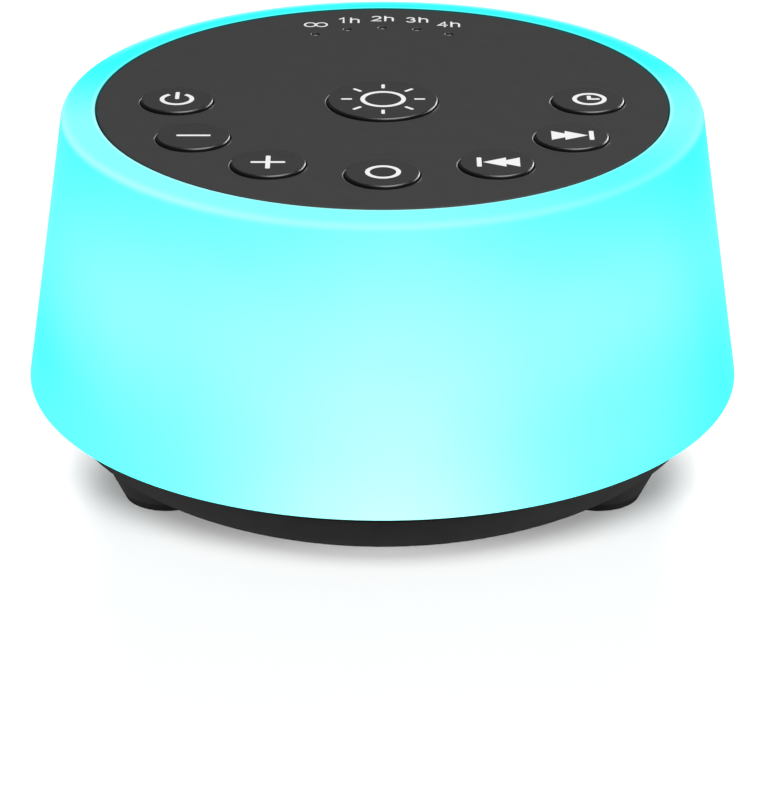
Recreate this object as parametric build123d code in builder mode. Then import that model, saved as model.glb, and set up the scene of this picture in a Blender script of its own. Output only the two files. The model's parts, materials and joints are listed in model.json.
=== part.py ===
from build123d import *
import math
import os

# A round bedside sound machine. A translucent drum glows around a dark control plate and
# stands on a shallow black bowl with three feet. The loudspeaker fires down through the bowl.
# Millimetres, +Z up. The origin is on the table, on the drum's axis. The front is -Y.

os.makedirs("parts", exist_ok=True)

# ---------------------------------------------------------------- driving dimensions

# Diffuser shell: a tapered drum, wide end down, with a flat rim round the control plate
shell_bottom_radius = 52.0
shell_top_radius = 46.0
shell_height = 41.3
shell_wall = 2.2
shell_lip_wall = 1.1
shell_foot_fillet = 0.4
rim_width = 4.8
rim_fillet = 1.75
ledge_width = 2.6
ledge_thickness = 2.2

# Control plate, let in flush with the shell's rim and held by hooks under its ledge
plate_thickness = 2.0
plate_edge_fillet = 0.25
hook_count = 4
hook_first_angle = 45.0
hook_width_angle = 8.0
hook_thickness = 1.4
hook_barb = 0.9
hook_barb_height = 1.0

# Keys: one large one and, round it, three small ones at each side and one in front. The
# middle ones at the sides stand out from their circle by the bow, and the front one stands in.
key_radius = 5.2
light_key_radius = 7.95
key_circle_margin = 11.5
key_circle_bow = 0.8
key_pitch_angle = 28.9
key_proud = 0.5
key_edge_fillet = 0.3
key_flange_width = 0.8
key_flange_thickness = 0.8
key_stem_radius = 2.4
key_stem_length = 0.7
key_travel = 0.4

# Tact switches under the keys
switch_width = 6.0
switch_height = 3.5
plunger_radius = 1.65
plunger_length = 2.6
plunger_sunk = 0.8
plunger_floor_gap = 0.3

# Timer indicators: small sunk light pipes on an arc behind the large key
indicator_count = 5
indicator_margin = 8.65
indicator_arc_radius = 19.0
indicator_pitch_angle = 16.0
indicator_radius = 0.55
indicator_recess = 0.3
indicator_pipe_radius = 1.0
indicator_tip_length = 1.2
indicator_led_length = 2.0
indicator_led_width = 1.25
indicator_led_height = 0.8
indicator_led_gap = 0.3

# Base bowl, an elliptical curve down to a flat floor
bowl_inset = 3.2
bowl_depth = 10.8
bowl_curve_depth = 17.3
bowl_wall = 2.0
bowl_edge_fillet = 2.0
shoulder_height = 1.7
lip_height = 2.3
lip_thickness = 1.8
snap_depth = 0.35
snap_width = 1.0

# Feet: conical bosses under the bowl, with rubber pads that hide the base screws
foot_count = 3
foot_inset = 12.95
foot_pad_radius = 6.15
foot_pad_height = 1.3
foot_boss_proud = 0.2
foot_draft_angle = 26.0
foot_boss_height = 7.5
foot_edge_fillet = 0.4
pad_plug_length = 2.0
screw_well_depth = 4.5
screw_post_height = 6.5
screw_post_wall = 1.8

# Loudspeaker grille in the bowl's floor: rings of arc-shaped slots
grille_first_radius = 6.5
grille_ring_pitch = 4.5
grille_slot_width = 1.8
grille_bridge = 2.6
grille_slots_in_first_ring = 3
grille_slots_added_per_ring = 2
grille_centre_radius = 1.6
grille_border = 1.5

# Fasteners
base_screw_radius = 1.3
base_screw_head_radius = 2.6
base_screw_head_height = 1.6
base_screw_bite = 4.8
small_screw_radius = 1.0
small_screw_head_radius = 1.8
small_screw_head_height = 1.2
small_screw_bite = 1.4
screw_head_rounding = 0.35
pilot_extra_depth = 0.4

# Loudspeaker, face down in the bowl
speaker_rim_width = 4.9
speaker_sheet = 0.8
speaker_throat_radius = 14.5
speaker_throat_hole = 7.5
speaker_basket_depth = 11.5
speaker_basket_step = 1.6
speaker_seat_height = 1.2
speaker_screw_count = 4
speaker_screw_angle = 45.0
gasket_thickness = 0.8
window_count = 4
window_width = 11.0
window_height = 5.0
surround_width = 3.0
surround_bond = 1.0
surround_thickness = 0.5
front_plate_radius = 16.0
front_plate_thickness = 2.5
magnet_radius = 17.5
magnet_hole_radius = 9.0
yoke_radius = 16.5
yoke_thickness = 2.5
pole_radius = 5.5
coil_inner_radius = 6.0
coil_thickness = 0.5
coil_length = 8.5
coil_overhang = 1.2
cone_thickness = 0.6
cone_neck_above_coil_end = 1.0
dust_cap_radius = 8.2
dust_cap_rise = 2.2
dust_cap_thickness = 0.3
spider_outer_radius = 13.2
spider_thickness = 0.35
spider_wave_height = 0.5
spider_wave_count = 3
grille_cloth_thickness = 0.3
terminal_width = 8.0
terminal_thickness = 2.0
terminal_height = 5.0

# Chassis: the white core that reflects the light and closes the speaker's chamber
chassis_step = 2.65
chassis_top_margin = 3.6
chassis_wall = 1.8
chassis_edge_fillet = 1.5
chassis_post_wall = 1.9

# Circuit boards
board_thickness = 1.2
led_places = 8
led_width = 5.0
led_height = 1.6
led_board_gap_angle = 32.0
main_board_length = 44.0
main_board_width = 36.0
main_board_screw_inset = 3.0
main_board_standoff = 1.9
electronics_room = 9.8
control_board_margin = 2.1
control_boss_radius = 2.5
control_boss_count = 4
control_boss_angle = 45.0
boss_radius = 2.2

# Components on the boards
processor_width = 10.0
processor_height = 1.2
processor_x = 5.5
amplifier_length = 6.0
amplifier_width = 5.0
amplifier_height = 1.5
amplifier_x = -6.6
amplifier_y = -8.1
capacitor_radius = 2.5
capacitor_height = 4.6
capacitor_pitch = 6.5
capacitor_count = 2
capacitor_x = -11.0
capacitor_y = 9.0
connector_length = 6.0
connector_depth = 4.0
connector_height = 3.4
header_length = 12.0
header_depth = 4.0
header_height = 2.0

# Cables inside the housing
wire_radius = 0.5
wire_pitch = 1.6
wire_bend_radius = 3.0
wire_hole_radius = 2.6
ribbon_width = 10.0
ribbon_thickness = 0.5
ribbon_reach = 5.0
ribbon_bend_radius = 1.8
led_cable_width = 4.0
led_cable_thickness = 0.6

# Power inlet at the back: a small USB socket on its own board, in a black bezel
port_height = 22.0
socket_width = 8.94
socket_height = 3.26
socket_depth = 7.35
socket_sheet = 0.3
socket_back = 1.0
socket_recess = 0.2
tongue_width = 6.7
tongue_thickness = 0.7
tongue_length = 4.6
bezel_border = 1.8
bezel_depth = 4.0
bezel_proud = 0.4
bezel_fillet = 0.3
port_board_width = 17.0
port_post_radius = 1.9
port_post_spread = 5.7

# Clearances
plate_gap = 0.2
key_gap = 0.15
key_flange_gap = 0.2
plunger_gap = 0.1
indicator_gap = 0.05
hook_gap = 0.2
lip_gap = 0.2
snap_gap = 0.1
pad_plug_gap = 0.05
screw_well_gap = 0.6
screw_hole_gap = 0.1
coil_gap = 0.5
socket_gap = 0.1
board_edge_gap = 1.1
speaker_post_gap = 1.45
magnet_headroom = 0.8

# ---------------------------------------------------------------- derived levels

bowl_bottom_z = foot_pad_height + foot_boss_proud
bowl_floor_z = bowl_bottom_z + bowl_wall
shell_bottom_z = bowl_bottom_z + bowl_depth
shoulder_top_z = shell_bottom_z + shoulder_height
lip_top_z = shoulder_top_z + lip_height
rim_z = shell_bottom_z + shell_height

plate_top_z = rim_z
plate_bottom_z = plate_top_z - plate_thickness
ledge_bottom_z = plate_bottom_z - ledge_thickness
key_top_z = plate_top_z + key_proud
key_flange_top_z = plate_bottom_z - key_flange_gap
key_flange_bottom_z = key_flange_top_z - key_flange_thickness
plunger_top_z = key_flange_bottom_z - key_stem_length
plunger_bottom_z = plunger_top_z - plunger_length
switch_top_z = plunger_bottom_z + plunger_sunk
control_board_top_z = switch_top_z - switch_height
control_board_bottom_z = control_board_top_z - board_thickness

chassis_flange_top_z = shoulder_top_z + chassis_wall
chassis_top_z = control_board_bottom_z - electronics_room
chassis_ceiling_z = chassis_top_z - chassis_wall
main_board_bottom_z = chassis_top_z + main_board_standoff
main_board_top_z = main_board_bottom_z + board_thickness
led_board_top_z = chassis_flange_top_z + board_thickness
cable_z = main_board_top_z + 0.5 * connector_height

gasket_bottom_z = bowl_floor_z + speaker_seat_height
flange_bottom_z = gasket_bottom_z + gasket_thickness
flange_top_z = flange_bottom_z + speaker_sheet
throat_bottom_z = flange_bottom_z + speaker_basket_depth
throat_top_z = throat_bottom_z + speaker_sheet
front_plate_top_z = throat_top_z + front_plate_thickness
yoke_top_z = chassis_ceiling_z - magnet_headroom
yoke_bottom_z = yoke_top_z - yoke_thickness
coil_top_z = front_plate_top_z + coil_overhang
coil_bottom_z = coil_top_z - coil_length
cone_neck_z = coil_bottom_z + cone_neck_above_coil_end
cone_rim_z = flange_top_z

well_top_z = bowl_bottom_z + screw_well_depth
screw_post_top_z = bowl_bottom_z + screw_post_height

port_board_top_z = port_height - 0.5 * socket_height
port_board_bottom_z = port_board_top_z - board_thickness

# ---------------------------------------------------------------- derived radii and places

shell_slope = (shell_bottom_radius - shell_top_radius) / shell_height
wall_across = shell_wall * math.hypot(1, shell_slope)


def shell_radius(z):
    """Outer radius of the diffuser shell at height z."""
    return shell_bottom_radius - shell_slope * (z - shell_bottom_z)


recess_radius = shell_top_radius - rim_width
plate_radius = recess_radius - plate_gap
ledge_inner_radius = recess_radius - ledge_width
rebate_radius = shell_radius(lip_top_z) - shell_lip_wall
lip_outer_radius = rebate_radius - lip_gap
lip_inner_radius = lip_outer_radius - lip_thickness
snap_z = 0.5 * (shoulder_top_z + lip_top_z)

bowl_radius = shell_bottom_radius - bowl_inset
bowl_inner_radius = bowl_radius - bowl_wall
foot_circle_radius = bowl_radius - foot_inset
foot_angles = [270 + 360 / foot_count * (k + 0.5) for k in range(foot_count)]
foot_names = ["front_right", "rear", "front_left"]
foot_top_radius = foot_pad_radius + foot_pad_height * math.tan(math.radians(foot_draft_angle))
boss_top_radius = foot_top_radius + foot_boss_height * math.tan(math.radians(foot_draft_angle))
screw_well_radius = base_screw_head_radius + screw_well_gap
screw_post_radius = screw_well_radius + screw_post_wall

speaker_radius = foot_circle_radius - screw_post_radius - speaker_post_gap
basket_inner_radius = speaker_radius - speaker_rim_width
basket_outer_radius = basket_inner_radius + speaker_sheet
surround_outer_radius = basket_inner_radius - surround_bond
surround_inner_radius = surround_outer_radius - surround_width
seat_inner_radius = surround_outer_radius - 0.5 * surround_bond
speaker_screw_radius = basket_outer_radius + small_screw_head_radius + screw_hole_gap
coil_outer_radius = coil_inner_radius + coil_thickness
front_plate_hole = coil_outer_radius + coil_gap
terminal_y = -(speaker_radius - terminal_thickness)

chassis_bottom_radius = foot_circle_radius + chassis_step
chassis_top_radius = speaker_radius + chassis_top_margin
chassis_flange_radius = lip_inner_radius - lip_gap
led_board_inner_radius = chassis_bottom_radius + board_edge_gap
led_board_outer_radius = chassis_flange_radius - board_edge_gap
led_circle_radius = 0.5 * (led_board_inner_radius + led_board_outer_radius)

key_circle_radius = plate_radius - key_circle_margin
side_key_radii = [key_circle_radius, key_circle_radius + key_circle_bow, key_circle_radius]
side_key_places = [(radius, key_pitch_angle * k) for k, radius in enumerate(side_key_radii)]
left_key_places = [(radius, 180 + angle) for radius, angle in side_key_places]
right_key_places = [(radius, 360 - angle) for radius, angle in side_key_places]
key_places = left_key_places + [(key_circle_radius - key_circle_bow, 270)] + right_key_places[::-1]
small_key_names = ["power", "volume_down", "volume_up", "mode", "previous", "next", "timer"]
keys = [(name, key_radius, place) for name, place in zip(small_key_names, key_places)]
keys.append(("light", light_key_radius, (0.0, 0.0)))
control_boss_circle = 0.5 * (key_circle_radius - key_radius + light_key_radius)
control_board_radius = ledge_inner_radius - control_board_margin
indicator_arc_centre = plate_radius - indicator_margin - indicator_arc_radius

bezel_front_y = shell_radius(port_height) + bezel_proud
bezel_back_y = bezel_front_y - bezel_depth
bezel_width = socket_width + 2 * (socket_gap + bezel_border)
bezel_height = socket_height + 2 * (socket_gap + bezel_border)
socket_front_y = bezel_front_y - socket_recess
socket_back_y = socket_front_y - socket_depth
port_board_front_y = bezel_back_y - socket_gap
port_board_back_y = chassis_bottom_radius
port_post_y = port_board_back_y + port_post_radius + 0.5 * wire_pitch


def polar(radius, angle):
    """The x and y of a point at a radius and an angle in degrees."""
    return radius * math.cos(math.radians(angle)), radius * math.sin(math.radians(angle))


key_points = [polar(*place) for name, radius, place in keys]
foot_points = [polar(foot_circle_radius, angle) for angle in foot_angles]
control_boss_points = [
    polar(control_boss_circle, control_boss_angle + 360 / control_boss_count * k)
    for k in range(control_boss_count)
]
speaker_screw_points = [
    polar(speaker_screw_radius, speaker_screw_angle + 360 / speaker_screw_count * k)
    for k in range(speaker_screw_count)
]
main_board_screw_points = [
    (side * (0.5 * main_board_length - main_board_screw_inset),
     end * (0.5 * main_board_width - main_board_screw_inset))
    for side in (-1, 1)
    for end in (-1, 1)
]
port_post_points = [(-port_post_spread, port_post_y), (port_post_spread, port_post_y)]
indicator_points = []
for k in range(indicator_count):
    indicator_angle = 90 - indicator_pitch_angle * (k - 0.5 * (indicator_count - 1))
    indicator_x, indicator_y = polar(indicator_arc_radius, indicator_angle)
    indicator_points.append((indicator_x, indicator_arc_centre + indicator_y))

# ---------------------------------------------------------------- helpers


def corner(profile, x, y):
    """The vertex of a sketch in progress that is nearest to the point (x, y)."""
    return profile.vertices().sort_by_distance((x, y))[0]


def disc(radius, z):
    """A flat circle sketch at height z, to be extruded."""
    with BuildSketch(Plane.XY.offset(z)) as sketch:
        Circle(radius)
    return sketch.sketch


def circles(points, radius, z):
    """Equal circles at the given points, as one flat sketch at height z."""
    with BuildSketch(Plane.XY.offset(z)) as sketch:
        with Locations(*points):
            Circle(radius)
    return sketch.sketch


def turned(points):
    """A solid of revolution about Z, from (radius, height) corners."""
    with BuildPart() as solid:
        with BuildSketch(Plane.XZ):
            with BuildLine():
                Polyline(*points, close=True)
            make_face()
        revolve(axis=Axis.Z)
    return solid.part


def screws(points, seat_z, direction, shank_radius, shank_length, head_radius, head_height):
    """Pan-head screws at the given points. The head stands on the seat, opposite to direction."""
    with BuildPart() as group:
        extrude(circles(points, shank_radius, seat_z), amount=direction * shank_length)
        extrude(circles(points, head_radius, seat_z), amount=-direction * head_height)
        head_z = seat_z - direction * head_height
        rims = group.edges().filter_by(GeomType.CIRCLE).filter_by_position(Axis.Z, head_z, head_z)
        fillet(rims, radius=screw_head_rounding * head_height)
    return group


def back_plane(y):
    """A vertical plane at depth y that faces backwards, centred on the power inlet."""
    return Plane(origin=(0, y, port_height), x_dir=(-1, 0, 0), z_dir=(0, 1, 0))


# ---------------------------------------------------------------- diffuser shell

with BuildPart() as diffuser_shell:
    with BuildSketch(Plane.XZ) as profile:
        with BuildLine():
            Polyline(
                (shell_bottom_radius, shell_bottom_z),
                (shell_top_radius, rim_z),
                (recess_radius, rim_z),
                (recess_radius, plate_bottom_z),
                (ledge_inner_radius, plate_bottom_z),
                (ledge_inner_radius, ledge_bottom_z),
                (shell_radius(ledge_bottom_z) - wall_across, ledge_bottom_z),
                (shell_radius(lip_top_z) - wall_across, lip_top_z),
                (rebate_radius, lip_top_z),
                (rebate_radius, snap_z + snap_width),
                (rebate_radius + snap_depth, snap_z + 0.5 * snap_width),
                (rebate_radius + snap_depth, snap_z - 0.5 * snap_width),
                (rebate_radius, snap_z - snap_width),
                (rebate_radius, shell_bottom_z),
                close=True,
            )
        make_face()
        fillet(corner(profile, shell_top_radius, rim_z), radius=rim_fillet)
        fillet(corner(profile, recess_radius, rim_z), radius=plate_edge_fillet)
        fillet(corner(profile, shell_bottom_radius, shell_bottom_z), radius=shell_foot_fillet)
    revolve(axis=Axis.Z)
    # Opening for the power inlet's bezel
    with BuildSketch(back_plane(bezel_back_y)):
        SlotOverall(bezel_width, bezel_height)
    extrude(amount=2 * bezel_depth, mode=Mode.SUBTRACT)

diffuser_shell.part.label = "diffuser_shell"
export_step(diffuser_shell.part, "parts/diffuser_shell.step")

# ---------------------------------------------------------------- control plate

hook_outer_radius = ledge_inner_radius - hook_gap
hook_inner_radius = hook_outer_radius - hook_thickness
barb_top_z = ledge_bottom_z - hook_gap
barb_bottom_z = barb_top_z - hook_barb_height

with BuildPart() as hook:
    with BuildSketch(Plane.XZ):
        with BuildLine():
            Polyline(
                (hook_inner_radius, plate_bottom_z),
                (hook_outer_radius, plate_bottom_z),
                (hook_outer_radius, barb_top_z),
                (hook_outer_radius + hook_barb, barb_top_z),
                (hook_outer_radius, barb_bottom_z),
                (hook_inner_radius, barb_bottom_z),
                close=True,
            )
        make_face()
    revolve(axis=Axis.Z, revolution_arc=hook_width_angle)

with BuildPart() as top_plate:
    extrude(disc(plate_radius, plate_bottom_z), amount=plate_thickness)
    upper_rim = top_plate.edges().filter_by(GeomType.CIRCLE).sort_by(Axis.Z)[-1]
    fillet(upper_rim, radius=plate_edge_fillet)
    for name, radius, place in keys:
        extrude(
            circles([polar(*place)], radius + key_gap, plate_bottom_z),
            amount=plate_thickness,
            mode=Mode.SUBTRACT,
        )
    extrude(
        circles(indicator_points, indicator_radius + indicator_gap, plate_bottom_z),
        amount=plate_thickness,
        mode=Mode.SUBTRACT,
    )
    extrude(
        circles(indicator_points, indicator_pipe_radius + indicator_gap, plate_bottom_z),
        amount=plate_thickness - indicator_tip_length,
        mode=Mode.SUBTRACT,
    )
    # Bosses that carry the control board, with blind pilot holes
    extrude(
        circles(control_boss_points, control_boss_radius, plate_bottom_z),
        amount=control_board_top_z - plate_bottom_z,
    )
    extrude(
        circles(control_boss_points, small_screw_radius, control_board_top_z),
        amount=small_screw_bite + pilot_extra_depth,
        mode=Mode.SUBTRACT,
    )
    # Snap hooks that grip the shell's ledge from below
    with PolarLocations(0, hook_count, start_angle=hook_first_angle - 0.5 * hook_width_angle):
        add(hook.part)

top_plate.part.label = "top_plate"
export_step(top_plate.part, "parts/top_plate.step")

# ---------------------------------------------------------------- keys and tact switches

for name, radius, place in keys:
    point = polar(*place)
    with BuildPart() as key:
        extrude(circles([point], radius, key_flange_top_z), amount=key_top_z - key_flange_top_z)
        key_rim = key.edges().filter_by(GeomType.CIRCLE).sort_by(Axis.Z)[-1]
        fillet(key_rim, radius=key_edge_fillet)
        extrude(
            circles([point], radius + key_flange_width, key_flange_bottom_z),
            amount=key_flange_thickness,
        )
        extrude(circles([point], key_stem_radius, plunger_top_z), amount=key_stem_length)
    key.part.label = f"key_{name}"
    export_step(key.part, f"parts/key_{name}.step")

    with BuildPart() as plunger:
        extrude(circles([point], plunger_radius, plunger_bottom_z), amount=plunger_length)
    plunger.part.label = f"plunger_{name}"
    export_step(plunger.part, f"parts/plunger_{name}.step")

plunger_bore_depth = plunger_sunk + key_travel + plunger_floor_gap

with BuildPart() as switch_bodies:
    with BuildSketch(Plane.XY.offset(control_board_top_z)):
        with Locations(*key_points):
            Rectangle(switch_width, switch_width)
    extrude(amount=switch_height)
    extrude(
        circles(key_points, plunger_radius + plunger_gap, switch_top_z),
        amount=-plunger_bore_depth,
        mode=Mode.SUBTRACT,
    )

switch_bodies.part.label = "switch_bodies"
export_step(switch_bodies.part, "parts/switch_bodies.step")

# ---------------------------------------------------------------- timer indicators

led_top_z = control_board_top_z + indicator_led_height
pipe_top_z = plate_top_z - indicator_tip_length

with BuildPart() as indicator_lenses:
    pipe_bottom_z = led_top_z + indicator_led_gap
    extrude(
        circles(indicator_points, indicator_pipe_radius, pipe_bottom_z),
        amount=pipe_top_z - pipe_bottom_z,
    )
    extrude(
        circles(indicator_points, indicator_radius, pipe_top_z),
        amount=indicator_tip_length - indicator_recess,
    )

indicator_lenses.part.label = "indicator_lenses"
export_step(indicator_lenses.part, "parts/indicator_lenses.step")

with BuildPart() as indicator_leds:
    with BuildSketch(Plane.XY.offset(control_board_top_z)):
        with Locations(*indicator_points):
            Rectangle(indicator_led_length, indicator_led_width)
    extrude(amount=indicator_led_height)

indicator_leds.part.label = "indicator_leds"
export_step(indicator_leds.part, "parts/indicator_leds.step")

# ---------------------------------------------------------------- control board

with BuildPart() as control_board:
    extrude(disc(control_board_radius, control_board_bottom_z), amount=board_thickness)
    extrude(
        circles(control_boss_points, small_screw_radius + screw_hole_gap, control_board_bottom_z),
        amount=board_thickness,
        mode=Mode.SUBTRACT,
    )

control_board.part.label = "control_board"
export_step(control_board.part, "parts/control_board.step")

control_board_screws = screws(
    control_boss_points,
    control_board_bottom_z,
    1,
    small_screw_radius,
    board_thickness + small_screw_bite,
    small_screw_head_radius,
    small_screw_head_height,
)
control_board_screws.part.label = "control_board_screws"
export_step(control_board_screws.part, "parts/control_board_screws.step")

# ---------------------------------------------------------------- base bowl


def bowl_side(inset):
    """The bowl's elliptical side, set in by a wall, from its floor up. Adds to the open profile."""
    curve_depth = bowl_curve_depth - inset
    cut_angle = math.degrees(math.asin((bowl_depth - inset) / curve_depth))
    return EllipticalCenterArc(
        (0, shell_bottom_z),
        bowl_radius - inset,
        curve_depth,
        start_angle=360 - cut_angle,
        arc_size=cut_angle,
    )


# Conical bosses that grow out of the bowl's side. Their inner ends lie inside its wall.
with BuildPart() as wall_middle:
    with BuildSketch(Plane.XZ):
        with BuildLine():
            side = bowl_side(0.5 * bowl_wall)
            Polyline(side @ 1, (0, shell_bottom_z), (0, (side @ 0).Y), side @ 0)
        make_face()
    revolve(axis=Axis.Z)

with BuildPart() as foot_bosses:
    with Locations(*[(x, y, foot_pad_height) for x, y in foot_points]):
        Cone(
            foot_top_radius,
            boss_top_radius,
            foot_boss_height,
            align=(Align.CENTER, Align.CENTER, Align.MIN),
        )
    add(wall_middle.part, mode=Mode.SUBTRACT)

with BuildPart() as base_shell:
    with BuildSketch(Plane.XZ) as profile:
        with BuildLine():
            outer_side = bowl_side(0)
            inner_side = bowl_side(bowl_wall)
            # Shoulder under the shell, and the lip with its snap bead inside it
            Polyline(
                outer_side @ 1,
                (lip_outer_radius, shell_bottom_z),
                (lip_outer_radius, snap_z - 0.5 * snap_width),
                (lip_outer_radius + snap_depth, snap_z),
                (lip_outer_radius, snap_z + 0.5 * snap_width),
                (lip_outer_radius, lip_top_z),
                (lip_inner_radius, lip_top_z),
                (lip_inner_radius, shoulder_top_z),
                (bowl_inner_radius, shoulder_top_z),
                inner_side @ 1,
            )
            # Floor, with a raised seat for the loudspeaker's rim
            Polyline(
                inner_side @ 0,
                (speaker_radius, bowl_floor_z),
                (speaker_radius, gasket_bottom_z),
                (seat_inner_radius, gasket_bottom_z),
                (seat_inner_radius, bowl_floor_z),
                (0, bowl_floor_z),
                (0, bowl_bottom_z),
                outer_side @ 0,
            )
        make_face()
        fillet(corner(profile, (outer_side @ 0).X, bowl_bottom_z), radius=bowl_edge_fillet)
    revolve(axis=Axis.Z)
    add(foot_bosses.part)
    extrude(
        circles(speaker_screw_points, small_screw_radius, gasket_bottom_z),
        amount=-(small_screw_bite + pilot_extra_depth),
        mode=Mode.SUBTRACT,
    )
    # Screw posts over the feet, and the wells that open under the rubber pads
    extrude(circles(foot_points, screw_post_radius, bowl_floor_z), amount=screw_post_top_z - bowl_floor_z)
    extrude(
        circles(foot_points, screw_well_radius, foot_pad_height),
        amount=well_top_z - foot_pad_height,
        mode=Mode.SUBTRACT,
    )
    extrude(
        circles(foot_points, base_screw_radius + screw_hole_gap, well_top_z),
        amount=screw_post_top_z - well_top_z,
        mode=Mode.SUBTRACT,
    )
    # Grille: rings of arc-shaped slots round a centre hole
    grille_reach = seat_inner_radius - grille_border - grille_first_radius
    grille_ring_count = int(grille_reach / grille_ring_pitch) + 1
    with BuildSketch(Plane.XY.offset(bowl_bottom_z)):
        Circle(grille_centre_radius)
        for ring in range(grille_ring_count):
            ring_radius = grille_first_radius + ring * grille_ring_pitch
            slot_count = grille_slots_in_first_ring + ring * grille_slots_added_per_ring
            pitch_angle = 360 / slot_count
            bridge_angle = math.degrees((grille_bridge + grille_slot_width) / ring_radius)
            for k in range(slot_count):
                start_angle = 90 + pitch_angle * k + 0.5 * bridge_angle
                SlotArc(
                    CenterArc((0, 0), ring_radius, start_angle, pitch_angle - bridge_angle),
                    grille_slot_width,
                )
    extrude(amount=bowl_wall, mode=Mode.SUBTRACT)

base_shell.part.label = "base_shell"
export_step(base_shell.part, "parts/base_shell.step")

# ---------------------------------------------------------------- feet and base screws

for name, point in zip(foot_names, foot_points):
    with BuildPart() as foot_pad:
        with Locations((point[0], point[1], 0)):
            Cone(
                foot_pad_radius,
                foot_top_radius,
                foot_pad_height,
                align=(Align.CENTER, Align.CENTER, Align.MIN),
            )
        tread = foot_pad.edges().filter_by(GeomType.CIRCLE).sort_by(Axis.Z)[0]
        fillet(tread, radius=foot_edge_fillet)
        extrude(
            circles([point], screw_well_radius - pad_plug_gap, foot_pad_height),
            amount=pad_plug_length,
        )
    foot_pad.part.label = f"foot_pad_{name}"
    export_step(foot_pad.part, f"parts/foot_pad_{name}.step")

base_screw_length = screw_post_top_z - well_top_z + base_screw_bite
base_screws = screws(
    foot_points,
    well_top_z,
    1,
    base_screw_radius,
    base_screw_length,
    base_screw_head_radius,
    base_screw_head_height,
)
base_screws.part.label = "base_screws"
export_step(base_screws.part, "parts/base_screws.step")

# ---------------------------------------------------------------- loudspeaker

with BuildPart() as grille_cloth:
    extrude(disc(seat_inner_radius, bowl_floor_z), amount=grille_cloth_thickness)

grille_cloth.part.label = "grille_cloth"
export_step(grille_cloth.part, "parts/grille_cloth.step")

with BuildPart() as speaker_gasket:
    with BuildSketch(Plane.XY.offset(gasket_bottom_z)):
        Circle(speaker_radius)
        Circle(seat_inner_radius, mode=Mode.SUBTRACT)
        with Locations(*speaker_screw_points):
            Circle(small_screw_radius + screw_hole_gap, mode=Mode.SUBTRACT)
    extrude(amount=gasket_thickness)

speaker_gasket.part.label = "speaker_gasket"
export_step(speaker_gasket.part, "parts/speaker_gasket.step")

basket_wall_across = basket_outer_radius - basket_inner_radius
window_z = 0.5 * (flange_top_z + throat_bottom_z)
window_radius = 0.5 * (basket_outer_radius + speaker_throat_radius)

with BuildPart() as speaker_frame:
    add(
        turned(
            [
                (seat_inner_radius, flange_bottom_z),
                (speaker_radius, flange_bottom_z),
                (speaker_radius, flange_top_z),
                (basket_outer_radius, flange_top_z),
                (basket_outer_radius, flange_top_z + speaker_basket_step),
                (speaker_throat_radius + basket_wall_across, throat_top_z),
                (speaker_throat_hole, throat_top_z),
                (speaker_throat_hole, throat_bottom_z),
                (speaker_throat_radius, throat_bottom_z),
                (basket_inner_radius, flange_top_z + speaker_basket_step),
                (basket_inner_radius, flange_top_z),
                (seat_inner_radius, flange_top_z),
            ]
        )
    )
    with Locations((0, 0, window_z)):
        with PolarLocations(window_radius, window_count):
            Box(window_width, window_width, window_height, mode=Mode.SUBTRACT)
    extrude(
        circles(speaker_screw_points, small_screw_radius + screw_hole_gap, flange_bottom_z),
        amount=speaker_sheet,
        mode=Mode.SUBTRACT,
    )

speaker_frame.part.label = "speaker_frame"
export_step(speaker_frame.part, "parts/speaker_frame.step")

speaker_screws = screws(
    speaker_screw_points,
    flange_top_z,
    -1,
    small_screw_radius,
    speaker_sheet + gasket_thickness + small_screw_bite,
    small_screw_head_radius,
    small_screw_head_height,
)
speaker_screws.part.label = "speaker_screws"
export_step(speaker_screws.part, "parts/speaker_screws.step")

with BuildPart() as speaker_terminal:
    with Locations((0, terminal_y, flange_top_z)):
        Box(
            terminal_width,
            terminal_thickness,
            terminal_height,
            align=(Align.CENTER, Align.CENTER, Align.MIN),
        )

speaker_terminal.part.label = "speaker_terminal"
export_step(speaker_terminal.part, "parts/speaker_terminal.step")

with BuildPart() as speaker_front_plate:
    with BuildSketch(Plane.XY.offset(throat_top_z)):
        Circle(front_plate_radius)
        Circle(front_plate_hole, mode=Mode.SUBTRACT)
    extrude(amount=front_plate_thickness)

speaker_front_plate.part.label = "speaker_front_plate"
export_step(speaker_front_plate.part, "parts/speaker_front_plate.step")

with BuildPart() as speaker_magnet:
    with BuildSketch(Plane.XY.offset(front_plate_top_z)):
        Circle(magnet_radius)
        Circle(magnet_hole_radius, mode=Mode.SUBTRACT)
    extrude(amount=yoke_bottom_z - front_plate_top_z)

speaker_magnet.part.label = "speaker_magnet"
export_step(speaker_magnet.part, "parts/speaker_magnet.step")

with BuildPart() as speaker_yoke:
    extrude(disc(yoke_radius, yoke_bottom_z), amount=yoke_thickness)
    extrude(disc(pole_radius, yoke_bottom_z), amount=throat_top_z - yoke_bottom_z)

speaker_yoke.part.label = "speaker_yoke"
export_step(speaker_yoke.part, "parts/speaker_yoke.step")

with BuildPart() as voice_coil:
    with BuildSketch(Plane.XY.offset(coil_bottom_z)):
        Circle(coil_outer_radius)
        Circle(coil_inner_radius, mode=Mode.SUBTRACT)
    extrude(amount=coil_length)

voice_coil.part.label = "voice_coil"
export_step(voice_coil.part, "parts/voice_coil.step")

cone_slope = (cone_neck_z - cone_rim_z) / (surround_inner_radius - coil_outer_radius)
cone_seat_z = cone_neck_z - cone_slope * (dust_cap_radius - coil_outer_radius)

with BuildPart() as speaker_cone:
    add(
        turned(
            [
                (coil_outer_radius, cone_neck_z),
                (surround_inner_radius, cone_rim_z),
                (surround_inner_radius, cone_rim_z + cone_thickness),
                (coil_outer_radius, cone_neck_z + cone_thickness),
            ]
        )
    )

speaker_cone.part.label = "speaker_cone"
export_step(speaker_cone.part, "parts/speaker_cone.step")

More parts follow.
